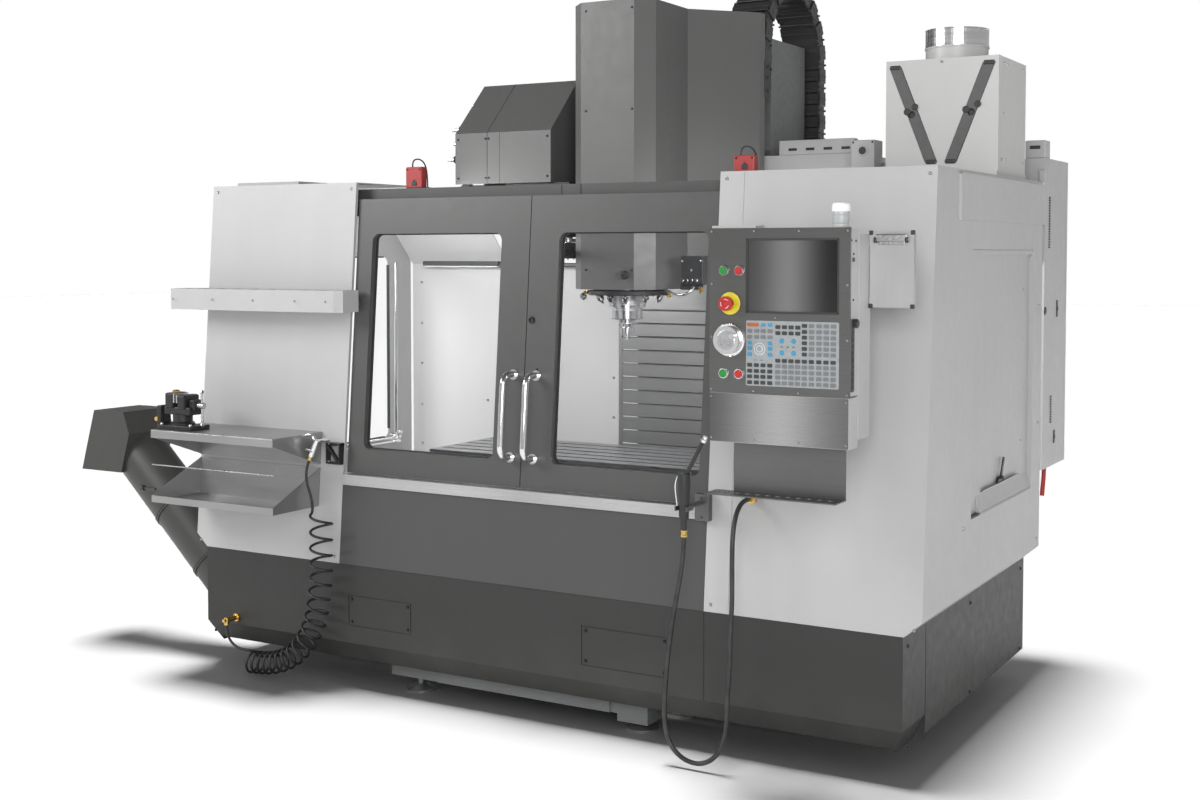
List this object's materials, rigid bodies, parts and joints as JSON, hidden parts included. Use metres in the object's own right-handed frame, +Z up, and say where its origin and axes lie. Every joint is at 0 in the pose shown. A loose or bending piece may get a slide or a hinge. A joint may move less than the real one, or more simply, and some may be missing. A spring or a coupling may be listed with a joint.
{
  "type": "cnc machining center",
  "caption": "Vertical milling machine in a white sheet-metal enclosure with sliding doors, operator pendant, tool changer and chip auger.",
  "frame": {"origin": "middle of the footprint, on the floor", "axes": "+X to the operator's right along the table's long travel, +Y to the back, +Z up"},
  "size_m": [3.351, 2.118, 2.5395],
  "materials": {
    "white_paint": "smooth powder coat",
    "dark_paint": "fine-textured powder coat",
    "grey_paint": "satin powder coat",
    "head_grey": "satin powder coat",
    "black_paint": "satin",
    "red_paint": "gloss",
    "stainless": "brushed",
    "machined_iron": "ground",
    "cast_iron": "painted casting",
    "bright_steel": "polished",
    "foot_steel": "zinc plated",
    "window_glass": "clear polycarbonate",
    "black_plastic": "moulded",
    "filter_grey": "moulded",
    "green_plastic": "moulded",
    "red_plastic": "moulded",
    "hose_rubber": "smooth",
    "brass_metal": "machined",
    "motor_black": "satin"
  },
  "bodies": {
    "machine": {"base_casting": "cast_iron", "levelling_feet": "foot_steel", "column_casting": "cast_iron", "base_skirt": "dark_paint", "chip_pan": "stainless", "auger_tube": "dark_paint", "front_apron": "grey_paint", "door_sill": "stainless", "door_track_housing": "grey_paint", "left_front_panel": "white_paint", "right_front_panel": "white_paint", "left_side_wall": "white_paint", "right_side_wall": "white_paint", "rear_panels": "white_paint", "z_way_cover": "stainless", "tool_changer_cover": "head_grey", "tool_changer_drive": "black_paint", "roof_frame": "white_paint", "cable_carrier": "black_plastic", "extractor_case": "white_paint", "cabinet_case": "white_paint", "tool_tray": "white_paint", "work_table": "stainless", "storage_bin": "stainless", "hose_fittings": "brass_metal", "wash_hose": "hose_rubber", "air_hose": "hose_rubber", "air_hose_coils": "hose_rubber", "air_gun": "bright_steel", "wash_gun": "black_plastic"},
    "left_door": {"left_door": "grey_paint", "left_window": "window_glass", "left_handle": "bright_steel"},
    "right_door": {"right_door": "grey_paint", "right_window": "window_glass", "right_handle": "bright_steel"},
    "saddle": {"saddle": "cast_iron"},
    "table": {"table": "machined_iron"},
    "head": {"head_casting": "cast_iron", "head_cover": "head_grey", "spindle_motor": "motor_black"},
    "spindle": {"spindle_shaft": "bright_steel", "tool_holder": "bright_steel"},
    "z_screw": {"z_screw": "bright_steel"},
    "carousel": {"carousel": "black_paint"},
    "arm_shaft": {"arm_shaft": "bright_steel"},
    "change_arm": {"change_arm": "black_paint"},
    "auger": {"auger_screw": "machined_iron"},
    "filter_left": {"filter_left": "filter_grey"},
    "filter_right": {"filter_right": "filter_grey"},
    "cabinet_door": {"cabinet_door": "white_paint"},
    "pendant": {"pendant_case": "white_paint", "pendant_face": "stainless", "pendant_tray": "stainless"},
    "power_on_button": {"power_on_button": "green_plastic"},
    "power_off_button": {"power_off_button": "red_plastic"},
    "cycle_start_button": {"cycle_start_button": "green_plastic"},
    "feed_hold_button": {"feed_hold_button": "red_plastic"},
    "emergency_stop": {"emergency_stop": "red_plastic"},
    "jog_wheel": {"jog_wheel": "bright_steel"}
  },
  "joints": [
    {"name": "left_door_slide", "type": "slide", "parent": "machine", "child": "left_door", "axis": [1, 0, 0], "range_m": [-0.64, 0]},
    {"name": "right_door_slide", "type": "slide", "parent": "machine", "child": "right_door", "axis": [1, 0, 0], "range_m": [0, 0.6]},
    {"name": "saddle_slide", "type": "slide", "parent": "machine", "child": "saddle", "axis": [0, 1, 0], "range_m": [-0.254, 0.254]},
    {"name": "table_slide", "type": "slide", "parent": "saddle", "child": "table", "axis": [1, 0, 0], "range_m": [-0.404, 0.612]},
    {"name": "head_slide", "type": "slide", "parent": "machine", "child": "head", "axis": [0, 0, 1], "range_m": [-0.392, 0.243], "deforming": ["z_way_cover", "cable_carrier"]},
    {"name": "z_screw_spin", "type": "hinge", "parent": "machine", "child": "z_screw", "pos_m": [0.3145, 0.573, 1.5], "axis": [0, 0, 1], "continuous": true},
    {"name": "spindle_spin", "type": "hinge", "parent": "head", "child": "spindle", "pos_m": [0.3145, 0.009, 1.5], "axis": [0, 0, 1], "continuous": true},
    {"name": "carousel_spin", "type": "hinge", "parent": "machine", "child": "carousel", "pos_m": [-0.1855, 0.304, 1.842], "axis": [1, 0, 0], "continuous": true},
    {"name": "arm_drop", "type": "slide", "parent": "machine", "child": "arm_shaft", "axis": [0, 0, 1], "range_m": [-0.11, 0]},
    {"name": "arm_swing", "type": "hinge", "parent": "arm_shaft", "child": "change_arm", "pos_m": [0.0645, 0.009, 1.478], "axis": [0, 0, 1], "range_deg": [-5, 5]},
    {"name": "auger_spin", "type": "hinge", "parent": "machine", "child": "auger", "pos_m": [0.3145, -0.618, 0.258], "axis": [1, 0, 0], "continuous": true},
    {"name": "filter_left_slide", "type": "slide", "parent": "machine", "child": "filter_left", "axis": [0, 1, 0], "range_m": [-0.25, 0]},
    {"name": "filter_right_slide", "type": "slide", "parent": "machine", "child": "filter_right", "axis": [0, 1, 0], "range_m": [-0.25, 0]},
    {"name": "cabinet_door_hinge", "type": "hinge", "parent": "machine", "child": "cabinet_door", "pos_m": [1.0155, 0.838, 1.2], "axis": [0, 0, 1], "range_deg": [0, 90]},
    {"name": "pendant_swivel", "type": "hinge", "parent": "machine", "child": "pendant", "pos_m": [1.1205, -0.833, 1.53], "axis": [0, 0, 1], "range_deg": [-60, 0]},
    {"name": "power_on_press", "type": "slide", "parent": "pendant", "child": "power_on_button", "axis": [0, 1, 0], "range_m": [0, 0.005], "stiffness_N_per_m": 800},
    {"name": "power_off_press", "type": "slide", "parent": "pendant", "child": "power_off_button", "axis": [0, 1, 0], "range_m": [0, 0.005], "stiffness_N_per_m": 800},
    {"name": "cycle_start_press", "type": "slide", "parent": "pendant", "child": "cycle_start_button", "axis": [0, 1, 0], "range_m": [0, 0.005], "stiffness_N_per_m": 800},
    {"name": "feed_hold_press", "type": "slide", "parent": "pendant", "child": "feed_hold_button", "axis": [0, 1, 0], "range_m": [0, 0.005], "stiffness_N_per_m": 800},
    {"name": "emergency_stop_press", "type": "slide", "parent": "pendant", "child": "emergency_stop", "axis": [0, 1, 0], "range_m": [0, 0.006]},
    {"name": "jog_wheel_spin", "type": "hinge", "parent": "pendant", "child": "jog_wheel", "pos_m": [1.2025, -1.021, 1.244], "axis": [0, 1, 0], "continuous": true}
  ],
  "couplings": [
    {"joint": "z_screw_spin", "follows": "head_slide", "rad_per_m": 628.32}
  ]
}
